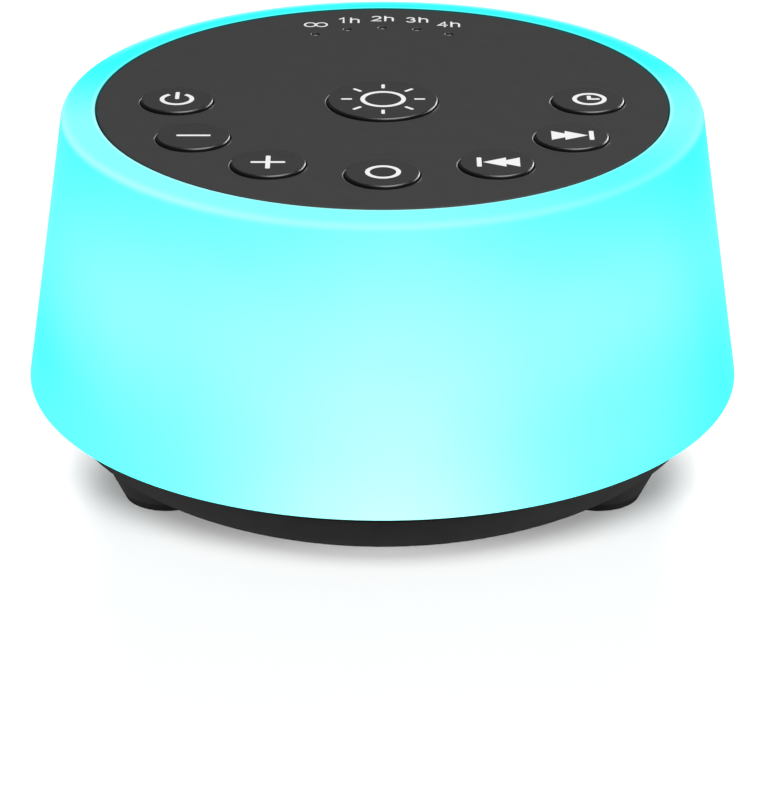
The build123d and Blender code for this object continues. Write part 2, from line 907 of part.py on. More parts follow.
with BuildPart() as dust_cap:
    with BuildSketch(Plane.XZ):
        with BuildLine():
            cap_inside = ThreePointArc(
                (dust_cap_radius, cone_seat_z),
                (0, cone_seat_z - dust_cap_rise + dust_cap_thickness),
                (-dust_cap_radius, cone_seat_z),
            )
            cap_outside = ThreePointArc(
                (dust_cap_radius + dust_cap_thickness, cone_seat_z - cone_slope * dust_cap_thickness),
                (0, cone_seat_z - dust_cap_rise),
                (-dust_cap_radius - dust_cap_thickness, cone_seat_z - cone_slope * dust_cap_thickness),
            )
            Line(cap_inside @ 0, cap_outside @ 0)
            Line(cap_inside @ 1, cap_outside @ 1)
        make_face()
        with Locations((-dust_cap_radius, cone_seat_z)):
            Rectangle(
                2 * dust_cap_radius,
                4 * dust_cap_rise,
                mode=Mode.SUBTRACT,
            )
    revolve(axis=Axis.Z)

dust_cap.part.label = "dust_cap"
export_step(dust_cap.part, "parts/dust_cap.step")

roll_radius = 0.5 * surround_width
roll_centre = 0.5 * (surround_inner_radius + surround_outer_radius)

with BuildPart() as speaker_surround:
    with BuildSketch(Plane.XZ):
        with Locations((roll_centre, flange_top_z)):
            Circle(roll_radius)
            Circle(roll_radius - surround_thickness, mode=Mode.SUBTRACT)
        with Locations((roll_centre, flange_top_z)):
            Rectangle(
                2 * roll_radius,
                roll_radius,
                align=(Align.CENTER, Align.MAX),
                mode=Mode.SUBTRACT,
            )
        with Locations((surround_outer_radius - surround_thickness, flange_top_z)):
            Rectangle(
                surround_thickness + surround_bond,
                surround_thickness,
                align=(Align.MIN, Align.MIN),
            )
    revolve(axis=Axis.Z)

speaker_surround.part.label = "speaker_surround"
export_step(speaker_surround.part, "parts/speaker_surround.step")

spider_top_z = throat_bottom_z
spider_step = (spider_outer_radius - coil_outer_radius) / (2 * spider_wave_count)
spider_upper = [
    (coil_outer_radius + spider_step * k, spider_top_z - spider_wave_height * (1 - k % 2))
    for k in range(2 * spider_wave_count)
]
spider_upper.append((spider_outer_radius, spider_top_z))
spider_lower = [(r, z - spider_thickness) for r, z in reversed(spider_upper)]

with BuildPart() as speaker_spider:
    add(turned(spider_upper + spider_lower))

speaker_spider.part.label = "speaker_spider"
export_step(speaker_spider.part, "parts/speaker_spider.step")

# ---------------------------------------------------------------- chassis

with BuildPart() as chassis:
    with BuildSketch(Plane.XZ) as profile:
        with BuildLine():
            Polyline(
                (chassis_flange_radius, shoulder_top_z),
                (chassis_flange_radius, chassis_flange_top_z),
                (chassis_bottom_radius, chassis_flange_top_z),
                (chassis_top_radius, chassis_top_z),
                (0, chassis_top_z),
                (0, chassis_ceiling_z),
                (chassis_top_radius - chassis_wall, chassis_ceiling_z),
                (chassis_bottom_radius - chassis_wall, shoulder_top_z),
                close=True,
            )
        make_face()
        fillet(corner(profile, chassis_top_radius, chassis_top_z), radius=chassis_edge_fillet)
    revolve(axis=Axis.Z)
    # Posts that take the base screws
    extrude(
        circles(foot_points, base_screw_radius + chassis_post_wall, screw_post_top_z),
        amount=chassis_flange_top_z - screw_post_top_z,
    )
    extrude(
        circles(foot_points, base_screw_radius, screw_post_top_z),
        amount=base_screw_bite + pilot_extra_depth,
        mode=Mode.SUBTRACT,
    )
    # Bosses for the main board and for the power inlet's board
    extrude(circles(main_board_screw_points, boss_radius, chassis_top_z), amount=main_board_standoff)
    extrude(
        circles(main_board_screw_points, small_screw_radius, main_board_bottom_z),
        amount=-(small_screw_bite + pilot_extra_depth),
        mode=Mode.SUBTRACT,
    )
    extrude(
        circles(port_post_points, port_post_radius, chassis_flange_top_z),
        amount=port_board_bottom_z - chassis_flange_top_z,
    )
    extrude(
        circles(port_post_points, small_screw_radius, port_board_bottom_z),
        amount=-(small_screw_bite + pilot_extra_depth),
        mode=Mode.SUBTRACT,
    )
    # Hole for the loudspeaker's leads
    extrude(
        circles([(0, terminal_y)], wire_hole_radius, chassis_ceiling_z),
        amount=chassis_wall,
        mode=Mode.SUBTRACT,
    )

chassis.part.label = "chassis"
export_step(chassis.part, "parts/chassis.step")

# ---------------------------------------------------------------- light ring

led_angles = [90 + 360 / led_places * k for k in range(1, led_places)]

with BuildPart() as led_board:
    with BuildSketch(Plane.XY.offset(chassis_flange_top_z)):
        Circle(led_board_outer_radius)
        Circle(led_board_inner_radius, mode=Mode.SUBTRACT)
        gap_half_width = led_board_outer_radius * math.tan(math.radians(0.5 * led_board_gap_angle))
        Polygon(
            (0, 0),
            (2 * gap_half_width, 2 * led_board_outer_radius),
            (-2 * gap_half_width, 2 * led_board_outer_radius),
            align=None,
            mode=Mode.SUBTRACT,
        )
    extrude(amount=board_thickness)

led_board.part.label = "led_board"
export_step(led_board.part, "parts/led_board.step")

with BuildPart() as led_packages:
    with BuildSketch(Plane.XY.offset(led_board_top_z)):
        for angle in led_angles:
            with Locations(Location((*polar(led_circle_radius, angle), 0), (0, 0, angle))):
                Rectangle(led_width, led_width)
    extrude(amount=led_height)

led_packages.part.label = "led_packages"
export_step(led_packages.part, "parts/led_packages.step")

# ---------------------------------------------------------------- main board

with BuildPart() as main_board:
    with BuildSketch(Plane.XY.offset(main_board_bottom_z)):
        Rectangle(main_board_length, main_board_width)
        with Locations(*main_board_screw_points):
            Circle(small_screw_radius + screw_hole_gap, mode=Mode.SUBTRACT)
    extrude(amount=board_thickness)

main_board.part.label = "main_board"
export_step(main_board.part, "parts/main_board.step")

main_board_screws = screws(
    main_board_screw_points,
    main_board_top_z,
    -1,
    small_screw_radius,
    board_thickness + small_screw_bite,
    small_screw_head_radius,
    small_screw_head_height,
)
main_board_screws.part.label = "main_board_screws"
export_step(main_board_screws.part, "parts/main_board_screws.step")

main_edge_x = 0.5 * main_board_length
main_edge_y = 0.5 * main_board_width

with BuildPart() as processor_chip:
    with BuildSketch(Plane.XY.offset(main_board_top_z)):
        with Locations((processor_x, 0)):
            Rectangle(processor_width, processor_width)
    extrude(amount=processor_height)

processor_chip.part.label = "processor_chip"
export_step(processor_chip.part, "parts/processor_chip.step")

with BuildPart() as amplifier_chip:
    with BuildSketch(Plane.XY.offset(main_board_top_z)):
        with Locations((amplifier_x, amplifier_y)):
            Rectangle(amplifier_length, amplifier_width)
    extrude(amount=amplifier_height)

amplifier_chip.part.label = "amplifier_chip"
export_step(amplifier_chip.part, "parts/amplifier_chip.step")

capacitor_points = [
    (capacitor_x + capacitor_pitch * k, capacitor_y) for k in range(capacitor_count)
]

with BuildPart() as capacitors:
    extrude(circles(capacitor_points, capacitor_radius, main_board_top_z), amount=capacitor_height)

capacitors.part.label = "capacitors"
export_step(capacitors.part, "parts/capacitors.step")

with BuildPart() as lead_connectors:
    with BuildSketch(Plane.XY.offset(main_board_top_z)):
        with Locations((0, -main_edge_y)):
            Rectangle(connector_length, connector_depth, align=(Align.CENTER, Align.MIN))
        with Locations((0, main_edge_y)):
            Rectangle(connector_length, connector_depth, align=(Align.CENTER, Align.MAX))
        with Locations((main_edge_x, 0)):
            Rectangle(connector_depth, connector_length, align=(Align.MAX, Align.CENTER))
    extrude(amount=connector_height)

lead_connectors.part.label = "lead_connectors"
export_step(lead_connectors.part, "parts/lead_connectors.step")

# ---------------------------------------------------------------- cables

header_x = -main_edge_x + board_edge_gap
lower_header_top_z = main_board_top_z + header_height
upper_header_bottom_z = control_board_bottom_z - header_height

with BuildPart() as ribbon_headers:
    for bottom_z in (main_board_top_z, upper_header_bottom_z):
        with BuildSketch(Plane.XY.offset(bottom_z)):
            with Locations((header_x, 0)):
                Rectangle(header_depth, header_length, align=(Align.MIN, Align.CENTER))
        extrude(amount=header_height)

ribbon_headers.part.label = "ribbon_headers"
export_step(ribbon_headers.part, "parts/ribbon_headers.step")

ribbon_low_z = main_board_top_z + 0.5 * header_height
ribbon_high_z = upper_header_bottom_z + 0.5 * header_height
ribbon_x = header_x - ribbon_reach

with BuildPart() as ribbon_cable:
    with BuildSketch(Plane.XZ):
        with BuildLine():
            FilletPolyline(
                (header_x, ribbon_low_z),
                (ribbon_x, ribbon_low_z),
                (ribbon_x, ribbon_high_z),
                (header_x, ribbon_high_z),
                radius=ribbon_bend_radius,
            )
        trace(line_width=ribbon_thickness)
    extrude(amount=0.5 * ribbon_width, both=True)

ribbon_cable.part.label = "ribbon_cable"
export_step(ribbon_cable.part, "parts/ribbon_cable.step")

led_cable_x = led_board_inner_radius + 0.5 * board_edge_gap

with BuildPart() as led_cable:
    with BuildSketch(Plane.XZ):
        with BuildLine():
            FilletPolyline(
                (led_cable_x, led_board_top_z),
                (led_cable_x, cable_z),
                (main_edge_x, cable_z),
                radius=wire_bend_radius,
            )
        trace(line_width=led_cable_thickness)
    extrude(amount=0.5 * led_cable_width, both=True)

led_cable.part.label = "led_cable"
export_step(led_cable.part, "parts/led_cable.step")


def lead_pair(centre_x, foot_y, foot_z, end_y):
    """Two wires that rise from a board and turn in to a connector on the main board."""
    with BuildPart() as pair:
        for side in (-0.5, 0.5):
            x = centre_x + side * wire_pitch
            with BuildLine() as route:
                FilletPolyline(
                    (x, foot_y, foot_z),
                    (x, foot_y, cable_z),
                    (x, end_y, cable_z),
                    radius=wire_bend_radius,
                )
            with BuildSketch(Plane(origin=route.line @ 0, z_dir=route.line % 0)):
                Circle(wire_radius)
            sweep(path=route.line)
    return pair


speaker_leads = lead_pair(0, terminal_y, flange_top_z + terminal_height, -main_edge_y)
speaker_leads.part.label = "speaker_leads"
export_step(speaker_leads.part, "parts/speaker_leads.step")

power_leads = lead_pair(0, port_board_back_y + wire_pitch, port_board_top_z, main_edge_y)
power_leads.part.label = "power_leads"
export_step(power_leads.part, "parts/power_leads.step")

# ---------------------------------------------------------------- power inlet

with BuildPart() as port_bezel:
    with BuildSketch(back_plane(bezel_back_y)):
        SlotOverall(bezel_width, bezel_height)
        SlotOverall(
            socket_width + 2 * socket_gap,
            socket_height + 2 * socket_gap,
            mode=Mode.SUBTRACT,
        )
    extrude(amount=bezel_depth)
    fillet(port_bezel.faces().sort_by(Axis.Y)[-1].edges(), radius=bezel_fillet)

port_bezel.part.label = "port_bezel"
export_step(port_bezel.part, "parts/port_bezel.step")

with BuildPart() as usb_socket:
    with BuildSketch(back_plane(socket_back_y)):
        SlotOverall(socket_width, socket_height)
    extrude(amount=socket_depth)
    with BuildSketch(back_plane(socket_back_y + socket_back)):
        SlotOverall(socket_width - 2 * socket_sheet, socket_height - 2 * socket_sheet)
    extrude(amount=socket_depth, mode=Mode.SUBTRACT)

usb_socket.part.label = "usb_socket"
export_step(usb_socket.part, "parts/usb_socket.step")

with BuildPart() as usb_tongue:
    with BuildSketch(back_plane(socket_back_y + socket_back)):
        Rectangle(tongue_width, tongue_thickness)
    extrude(amount=tongue_length)

usb_tongue.part.label = "usb_tongue"
export_step(usb_tongue.part, "parts/usb_tongue.step")

with BuildPart() as port_board:
    with BuildSketch(Plane.XY.offset(port_board_bottom_z)):
        with Locations((0, port_board_back_y)):
            Rectangle(
                port_board_width,
                port_board_front_y - port_board_back_y,
                align=(Align.CENTER, Align.MIN),
            )
        with Locations(*port_post_points):
            Circle(small_screw_radius + screw_hole_gap, mode=Mode.SUBTRACT)
    extrude(amount=board_thickness)

port_board.part.label = "port_board"
export_step(port_board.part, "parts/port_board.step")

port_screws = screws(
    port_post_points,
    port_board_top_z,
    -1,
    small_screw_radius,
    board_thickness + small_screw_bite,
    small_screw_head_radius,
    small_screw_head_height,
)
port_screws.part.label = "port_screws"
export_step(port_screws.part, "parts/port_screws.step")
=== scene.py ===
import json
import math

import bmesh
import bpy
from mathutils import Matrix, Vector

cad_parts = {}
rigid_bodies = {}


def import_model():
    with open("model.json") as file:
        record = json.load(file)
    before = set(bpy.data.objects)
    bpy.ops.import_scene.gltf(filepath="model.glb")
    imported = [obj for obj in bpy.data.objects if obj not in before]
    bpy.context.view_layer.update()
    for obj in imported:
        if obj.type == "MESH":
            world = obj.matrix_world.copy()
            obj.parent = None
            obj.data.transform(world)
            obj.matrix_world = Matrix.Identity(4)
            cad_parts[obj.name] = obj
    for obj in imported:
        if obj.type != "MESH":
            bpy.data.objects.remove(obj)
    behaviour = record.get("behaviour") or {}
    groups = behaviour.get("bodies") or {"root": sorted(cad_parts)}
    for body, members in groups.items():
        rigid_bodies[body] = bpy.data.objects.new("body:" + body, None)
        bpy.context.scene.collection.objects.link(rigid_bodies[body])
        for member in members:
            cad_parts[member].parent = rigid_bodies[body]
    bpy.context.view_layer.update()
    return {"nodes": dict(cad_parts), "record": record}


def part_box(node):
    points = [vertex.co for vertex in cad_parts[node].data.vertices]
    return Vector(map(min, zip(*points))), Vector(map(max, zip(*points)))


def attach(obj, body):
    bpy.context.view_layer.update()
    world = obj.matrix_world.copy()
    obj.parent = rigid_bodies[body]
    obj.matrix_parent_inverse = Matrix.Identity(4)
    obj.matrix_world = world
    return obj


# A round bedside sound machine: a glowing drum, a dark control plate with printed keys, and a
# black bowl on three feet. The frame, the lights and the camera are in metres. Sizes on the
# object are in millimetres, times MM.

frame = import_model()
nodes = frame["nodes"]

MM = 0.001

# ---------------------------------------------------------------- places taken from the frame

drum_low, drum_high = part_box("diffuser_shell")
plate_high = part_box("top_plate")[1]
drum_bottom_z = drum_low.z
drum_height = drum_high.z - drum_low.z
plate_radius = plate_high.x
plate_top_z = plate_high.z


def key_centre(name):
    """The middle of a key's top face."""
    low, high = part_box("key_" + name)
    return Vector((0.5 * (low.x + high.x), 0.5 * (low.y + high.y), high.z))


def key_top_radius(name):
    """How far the part of a key that stands above the plate reaches from its middle."""
    centre = key_centre(name)
    tops = [v.co for v in nodes["key_" + name].data.vertices if v.co.z > plate_top_z]
    return max(math.hypot(co.x - centre.x, co.y - centre.y) for co in tops)


def new_object(name, data):
    """A new object at the origin, linked to the scene."""
    thing = bpy.data.objects.new(name, data)
    bpy.context.scene.collection.objects.link(thing)
    return thing


# ---------------------------------------------------------------- shader helpers

# Noise scales are in cells per metre. Most of a noise's values lie from NOISE_LOW to NOISE_HIGH.
NOISE_LOW = 0.3
NOISE_HIGH = 0.7
PATCH_SCALE = 300.0
PATCH_DETAIL = 3.0
GRAIN_SCALE = 5000.0
GRAIN_STRENGTH = 0.25
GRAIN_RELIEF = 0.01


def rgb(red, green, blue):
    """A colour socket's value from linear red, green and blue."""
    return (red, green, blue, 1.0)


class Shader:
    """A material's node tree with one Principled shader, and short ways to add nodes to it."""

    def __init__(self, name):
        self.material = bpy.data.materials.new(name)
        self.material.use_nodes = True
        self.tree = self.material.node_tree
        self.principled = self.tree.nodes["Principled BSDF"]
        self.place = self.tree.nodes.new("ShaderNodeTexCoord").outputs["Object"]

    def link(self, value, socket):
        """Links an output to a socket, or sets the socket to a number."""
        if isinstance(value, bpy.types.NodeSocket):
            self.tree.links.new(value, socket)
        else:
            socket.default_value = value

    def set(self, **values):
        """Sets or links the Principled shader's sockets. Underscores stand for spaces."""
        for name, value in values.items():
            self.link(value, self.principled.inputs[name.replace("_", " ")])

    def axes(self, vector):
        """The x, y and z of a vector."""
        node = self.tree.nodes.new("ShaderNodeSeparateXYZ")
        self.tree.links.new(vector, node.inputs[0])
        return node.outputs

    def math(self, operation, *values):
        """A Math node over numbers or outputs."""
        node = self.tree.nodes.new("ShaderNodeMath")
        node.operation = operation
        for value, socket in zip(values, node.inputs):
            self.link(value, socket)
        return node.outputs[0]

    def times(self, *values):
        """The product of numbers or outputs."""
        product = values[0]
        for value in values[1:]:
            product = self.math("MULTIPLY", product, value)
        return product

    def total(self, *values):
        """The sum of numbers or outputs."""
        result = values[0]
        for value in values[1:]:
            result = self.math("ADD", result, value)
        return result

    def hill(self, value, centre, reach):
        """A smooth bump of height 1 round a centre: exp(-((value - centre) / reach)^2)."""
        offset = self.math("DIVIDE", self.math("SUBTRACT", value, centre), reach)
        square = self.math("MULTIPLY", offset, offset)
        return self.math("EXPONENT", self.math("MULTIPLY", square, -1.0))

    def spread(self, value, low, high, from_low=NOISE_LOW, from_high=NOISE_HIGH, steps="LINEAR"):
        """Maps one range of an output to another, and stops at its ends."""
        node = self.tree.nodes.new("ShaderNodeMapRange")
        node.interpolation_type = steps
        self.link(value, node.inputs["Value"])
        node.inputs["From Min"].default_value = from_low
        node.inputs["From Max"].default_value = from_high
        self.link(low, node.inputs["To Min"])
        self.link(high, node.inputs["To Max"])
        return node.outputs["Result"]

    def mix(self, factor, first, second):
        """A colour between two colours."""
        node = self.tree.nodes.new("ShaderNodeMix")
        node.data_type = "RGBA"
        self.link(factor, node.inputs[0])
        self.link(first, node.inputs[6])
        self.link(second, node.inputs[7])
        return node.outputs[2]

    def noise(self, scale, detail=2.0):
        """Noise over the frame's coordinates."""
        node = self.tree.nodes.new("ShaderNodeTexNoise")
        node.inputs["Scale"].default_value = scale
        node.inputs["Detail"].default_value = detail
        self.tree.links.new(self.place, node.inputs["Vector"])
        return node.outputs["Fac"]

    def patchy(self, dark, light, scale=PATCH_SCALE):
        """A colour that drifts between two colours in soft patches."""
        patches = self.noise(scale, PATCH_DETAIL)
        return self.mix(self.spread(patches, 0.0, 1.0), rgb(*dark), rgb(*light))

    def grainy(self, rough, scale=GRAIN_SCALE, relief=GRAIN_RELIEF, strength=GRAIN_STRENGTH):
        """Gives the surface a fine relief, and returns a roughness that follows it."""
        grains = self.noise(scale)
        bump = self.tree.nodes.new("ShaderNodeBump")
        bump.inputs["Strength"].default_value = strength
        bump.inputs["Distance"].default_value = relief * MM
        self.link(grains, bump.inputs["Height"])
        self.tree.links.new(bump.outputs["Normal"], self.principled.inputs["Normal"])
        return self.spread(grains, rough[0], rough[1])


def finish(
    name, dark, light, rough, patch=PATCH_SCALE, grain=GRAIN_SCALE, relief=GRAIN_RELIEF, **constant
):
    """A surface that varies a little in colour, gloss and relief, as a real one does."""
    shader = Shader(name)
    shader.set(
        Base_Color=shader.patchy(dark, light, patch),
        Roughness=shader.grainy(rough, grain, relief),
        **constant,
    )
    return shader.material


# ---------------------------------------------------------------- the glowing drum

# Green and blue are full all over the drum. Red is a display value out of FULL. Angles are in
# degrees round the drum, zero in front and positive to the right. Heights are shares of the
# drum's height. Reaches are those of Shader.hill.
FULL = 255.0
DISPLAY_GAMMA = 2.3
GREEN = 1.0
BLUE = 0.99

# The wall's even glow. It changes with the height, and with the angle over EVEN_TURN
EVEN_LEVEL = 112.0
EVEN_BY_HEIGHT = -22.0
EVEN_TURN = 75.0
EVEN_BY_TURN = -9.0
EVEN_BY_TURN_SQUARED = -20.0
EVEN_BY_TURN_FOURTH = -14.0
EVEN_LEAST = 70.0

# The bright place low in front
FRONT_ANGLE = 0.7
FRONT_REACH = 27.0
FRONT_LEVEL = 91.0
FRONT_BY_HEIGHT = -50.0

# The bright places higher up, two on each side: angle and level
SIDE_GLOWS = ((-48.4, 50.0), (48.4, 55.0), (-115.0, 45.0), (115.0, 45.0))
SIDE_REACH = 32.5
SIDE_HEIGHT = 0.61
SIDE_HEIGHT_REACH = 0.35

# Small spots on the wall: angle, height, reach in height, and level
WALL_SPOTS = ((75.0, 0.95, 0.28, -22.0), (-75.0, 0.22, 0.14, -16.0), (45.0, 0.12, 0.18, 13.0))
WALL_SPOT_REACH = 15.0

# The rim's levels at the back and in front, each up to a cosine of the angle, and its spots:
# angle, reach and level. The lower level at the back is painted shade.
RIM_SHADED_BACK_LEVEL = 56.0
RIM_FRONT_LEVEL = 137.0
RIM_SHADED_BACK_COSINE = -0.42
RIM_FRONT_COSINE = 0.2
RIM_SPOTS = ((50.0, 22.0, -36.0), (100.0, 10.0, 20.0))
RIM_FILLET = 1.75 * MM
RIM_FLAT_DEPTH = 0.1 * RIM_FILLET

# A painted highlight on the rim's outer edge at the back, from one radius to another
BACK_EDGE_HIGHLIGHT_LEVEL = 150.0
BACK_EDGE_HIGHLIGHT_START = 43.2 * MM
BACK_EDGE_HIGHLIGHT_END = 45.2 * MM
BACK_EDGE_HIGHLIGHT_FULL_COSINE = -0.75
BACK_EDGE_HIGHLIGHT_NONE_COSINE = -0.3

# The painted highlight along the rim's outer edge
RIM_HIGHLIGHT_BAND = 0.45 * MM
RIM_HIGHLIGHT_DEPTH = 0.65 * MM
RIM_HIGHLIGHT_BACK_LEVEL = 70.0
RIM_HIGHLIGHT_FRONT_LEVEL = 29.0
RIM_HIGHLIGHT_BACK_COSINE = -0.6
RIM_HIGHLIGHT_FRONT_COSINE = 0.2
RIM_HIGHLIGHT_SPOT = (-55.0, 45.0, 14.0)

# The painted highlight along the rim's inner edge, and the painted shade of the seam between it and
# the plate
INNER_HIGHLIGHT_LEVEL = 38.0
INNER_HIGHLIGHT_WIDTH = 0.24 * MM
SEAM_SHADE_OUTER = plate_radius + 0.20 * MM
SEAM_SHADE_WIDER_BACK = 0.25 * MM
SEAM_SHADE_BLUR = 0.03 * MM
SEAM_SHADE_GLOW = 0.05

DRUM_CLOUD_SCALE = 60.0
DRUM_CLOUD_SHARE = 0.015
DRUM_DARK = (0.006, 0.50, 0.50)
DRUM_LIGHT = (0.010, 0.55, 0.55)
DRUM_ROUGH = (0.48, 0.56)
DRUM_GRAIN_SCALE = 3000.0
DRUM_GRAIN_STRENGTH = 0.15


def wall_level(shader, angle, height):
    """The level of red on the drum's wall."""
    turn = shader.math("DIVIDE", angle, EVEN_TURN)
    even = shader.total(
        EVEN_LEVEL,
        shader.times(height, EVEN_BY_HEIGHT),
        shader.times(turn, turn, EVEN_BY_TURN_SQUARED),
        shader.times(turn, turn, turn, turn, EVEN_BY_TURN_FOURTH),
        shader.times(turn, EVEN_BY_TURN),
    )
    even = shader.math("MAXIMUM", even, EVEN_LEAST)
    front = shader.times(
        shader.total(FRONT_LEVEL, shader.times(height, FRONT_BY_HEIGHT)),
        shader.hill(angle, FRONT_ANGLE, FRONT_REACH),
    )
    sides = shader.total(
        *[shader.times(shader.hill(angle, at, SIDE_REACH), level) for at, level in SIDE_GLOWS]
    )
    side_height = shader.hill(height, SIDE_HEIGHT, SIDE_HEIGHT_REACH)
    wall = shader.total(even, front, shader.times(side_height, sides))
    for at, high, reach, level in WALL_SPOTS:
        round_spot = shader.hill(angle, at, WALL_SPOT_REACH)
        spot = shader.times(round_spot, shader.hill(height, high, reach))
        wall = shader.total(wall, shader.times(spot, level))
    return wall


def rim_level(shader, angle, cosine, radius):
    """The level of red on the drum's rim, with painted shade that dims it at the back."""
    # The rim's glow, dimmed at the back by painted shade
    rim = shader.spread(
        cosine, RIM_SHADED_BACK_LEVEL, RIM_FRONT_LEVEL, RIM_SHADED_BACK_COSINE, RIM_FRONT_COSINE, "SMOOTHSTEP"
    )
    spots = [shader.times(shader.hill(angle, at, reach), level) for at, reach, level in RIM_SPOTS]
    # A painted highlight on the rim's outer edge at the back
    back_highlight_by_radius = shader.spread(
        radius, 0.0, BACK_EDGE_HIGHLIGHT_LEVEL, BACK_EDGE_HIGHLIGHT_START, BACK_EDGE_HIGHLIGHT_END, "SMOOTHSTEP"
    )
    back_highlight_by_angle = shader.spread(
        cosine, 1.0, 0.0, BACK_EDGE_HIGHLIGHT_FULL_COSINE, BACK_EDGE_HIGHLIGHT_NONE_COSINE, "SMOOTHSTEP"
    )
    return shader.total(rim, *spots, shader.times(back_highlight_by_radius, back_highlight_by_angle))


def rim_highlight_level(shader, angle, cosine, z):
    """The level of red that the painted highlight along the rim's outer edge adds."""
    at, reach, level = RIM_HIGHLIGHT_SPOT
    strength = shader.total(
        shader.spread(
            cosine,
            RIM_HIGHLIGHT_BACK_LEVEL,
            RIM_HIGHLIGHT_FRONT_LEVEL,
            RIM_HIGHLIGHT_BACK_COSINE,
            RIM_HIGHLIGHT_FRONT_COSINE,
            "SMOOTHSTEP",
        ),
        shader.times(shader.hill(angle, at, reach), level),
    )
    # A painted highlight in a band along the rim's outer edge
    return shader.times(shader.hill(z, plate_top_z - RIM_HIGHLIGHT_DEPTH, RIM_HIGHLIGHT_BAND), strength)


def diffuser():
    """Milky plastic that glows from inside, by a formula for its red in the angle round the drum
    and the height on it. Painted shade darkens the seam at the plate, and painted highlights light
    the rim's edges."""
    shader = Shader("diffuser_glow")
    x, y, z = shader.axes(shader.place)
    ahead = shader.math("MULTIPLY", y, -1.0)
    angle = shader.math("DEGREES", shader.math("ARCTAN2", x, ahead))
    radius = shader.math("SQRT", shader.total(shader.times(x, x), shader.times(y, y)))
    cosine = shader.math("DIVIDE", ahead, radius)
    height = shader.math("DIVIDE", shader.math("SUBTRACT", z, drum_bottom_z), drum_height)

    # How far a point lies outside the seam's painted shade, which widens towards the back
    behind = shader.spread(cosine, 1.0, 0.0, -1.0, 1.0)
    seam_shade_wider = shader.times(behind, behind, behind, SEAM_SHADE_WIDER_BACK)
    from_seam_shade = shader.math("SUBTRACT", shader.math("SUBTRACT", radius, SEAM_SHADE_OUTER), seam_shade_wider)
    # A painted highlight along the rim's inner edge
    inner_highlight = shader.times(
        shader.hill(from_seam_shade, INNER_HIGHLIGHT_WIDTH, INNER_HIGHLIGHT_WIDTH),
        shader.spread(z, 0.0, INNER_HIGHLIGHT_LEVEL, plate_top_z - RIM_HIGHLIGHT_BAND, plate_top_z),
    )

    on_rim = shader.spread(
        z, 0.0, 1.0, plate_top_z - RIM_FILLET, plate_top_z - RIM_FLAT_DEPTH, "SMOOTHSTEP"
    )
    shown = shader.total(
        shader.times(wall_level(shader, angle, height), shader.math("SUBTRACT", 1.0, on_rim)),
        shader.times(rim_level(shader, angle, cosine, radius), on_rim),
        rim_highlight_level(shader, angle, cosine, z),
        inner_highlight,
    )
    cloud = shader.noise(DRUM_CLOUD_SCALE)
    share = shader.spread(cloud, (1.0 - DRUM_CLOUD_SHARE) / FULL, (1.0 + DRUM_CLOUD_SHARE) / FULL)
    colour = shader.tree.nodes.new("ShaderNodeCombineColor")
    shader.link(shader.math("POWER", shader.times(shown, share), DISPLAY_GAMMA), colour.inputs[0])
    colour.inputs[1].default_value = GREEN
    colour.inputs[2].default_value = BLUE
    shader.set(
        Base_Color=shader.mix(shader.spread(cloud, 0.0, 1.0), rgb(*DRUM_DARK), rgb(*DRUM_LIGHT)),
        Roughness=shader.grainy(DRUM_ROUGH, DRUM_GRAIN_SCALE, strength=DRUM_GRAIN_STRENGTH),
        Specular_IOR_Level=0.01,
        Emission_Color=colour.outputs[0],
        # The glow fades at the seam at the plate: painted shade
        Emission_Strength=shader.spread(from_seam_shade, SEAM_SHADE_GLOW, 1.0, -SEAM_SHADE_BLUR, SEAM_SHADE_BLUR),
    )
    return shader.material


# ---------------------------------------------------------------- the bowl and the keys

BOWL_DARK = (0.0132, 0.0131, 0.0131)
BOWL_LIGHT = (0.0157, 0.0150, 0.0150)
# Painted shade: a dark band on the bowl just under the drum's lower edge
GAP_SHADE_COLOUR = (0.002, 0.002, 0.002)
GAP_SHADE_LOW = drum_bottom_z - 1.90 * MM
GAP_SHADE_HIGH = drum_bottom_z - 1.60 * MM


def bowl_plastic():
    """Black satin plastic, with painted shade in the gap under the drum."""
    shader = Shader("base_plastic")
    z = shader.axes(shader.place)[2]
    # Where the painted shade under the drum lies
    in_gap_shade = shader.spread(z, 0.0, 1.0, GAP_SHADE_LOW, GAP_SHADE_HIGH)
    shader.set(
        Base_Color=shader.mix(in_gap_shade, shader.patchy(BOWL_DARK, BOWL_LIGHT), rgb(*GAP_SHADE_COLOUR)),
        Roughness=shader.grainy((0.45, 0.52)),
        Specular_IOR_Level=0.0,
    )
    return shader.material


# A key's face counts as its flat top as its normal's upward share nears KEY_FLAT_FULL
KEY_FLAT_NONE = 0.94
KEY_FLAT_FULL = 0.99
KEY_TOP_DARK = (0.0220, 0.0220, 0.0223)
KEY_TOP_LIGHT = (0.0231, 0.0231, 0.0234)
# The rounded edges are coloured darker than the flat tops: painted shade
KEY_EDGE_SHADE_COLOUR = (0.004, 0.004, 0.004)
KEY_EDGE_ROUGH = (0.27, 0.31)
KEY_TOP_ROUGHER = 0.28
KEY_EDGE_SPECULAR = 0.5
KEY_TOP_SPECULAR = 0.04


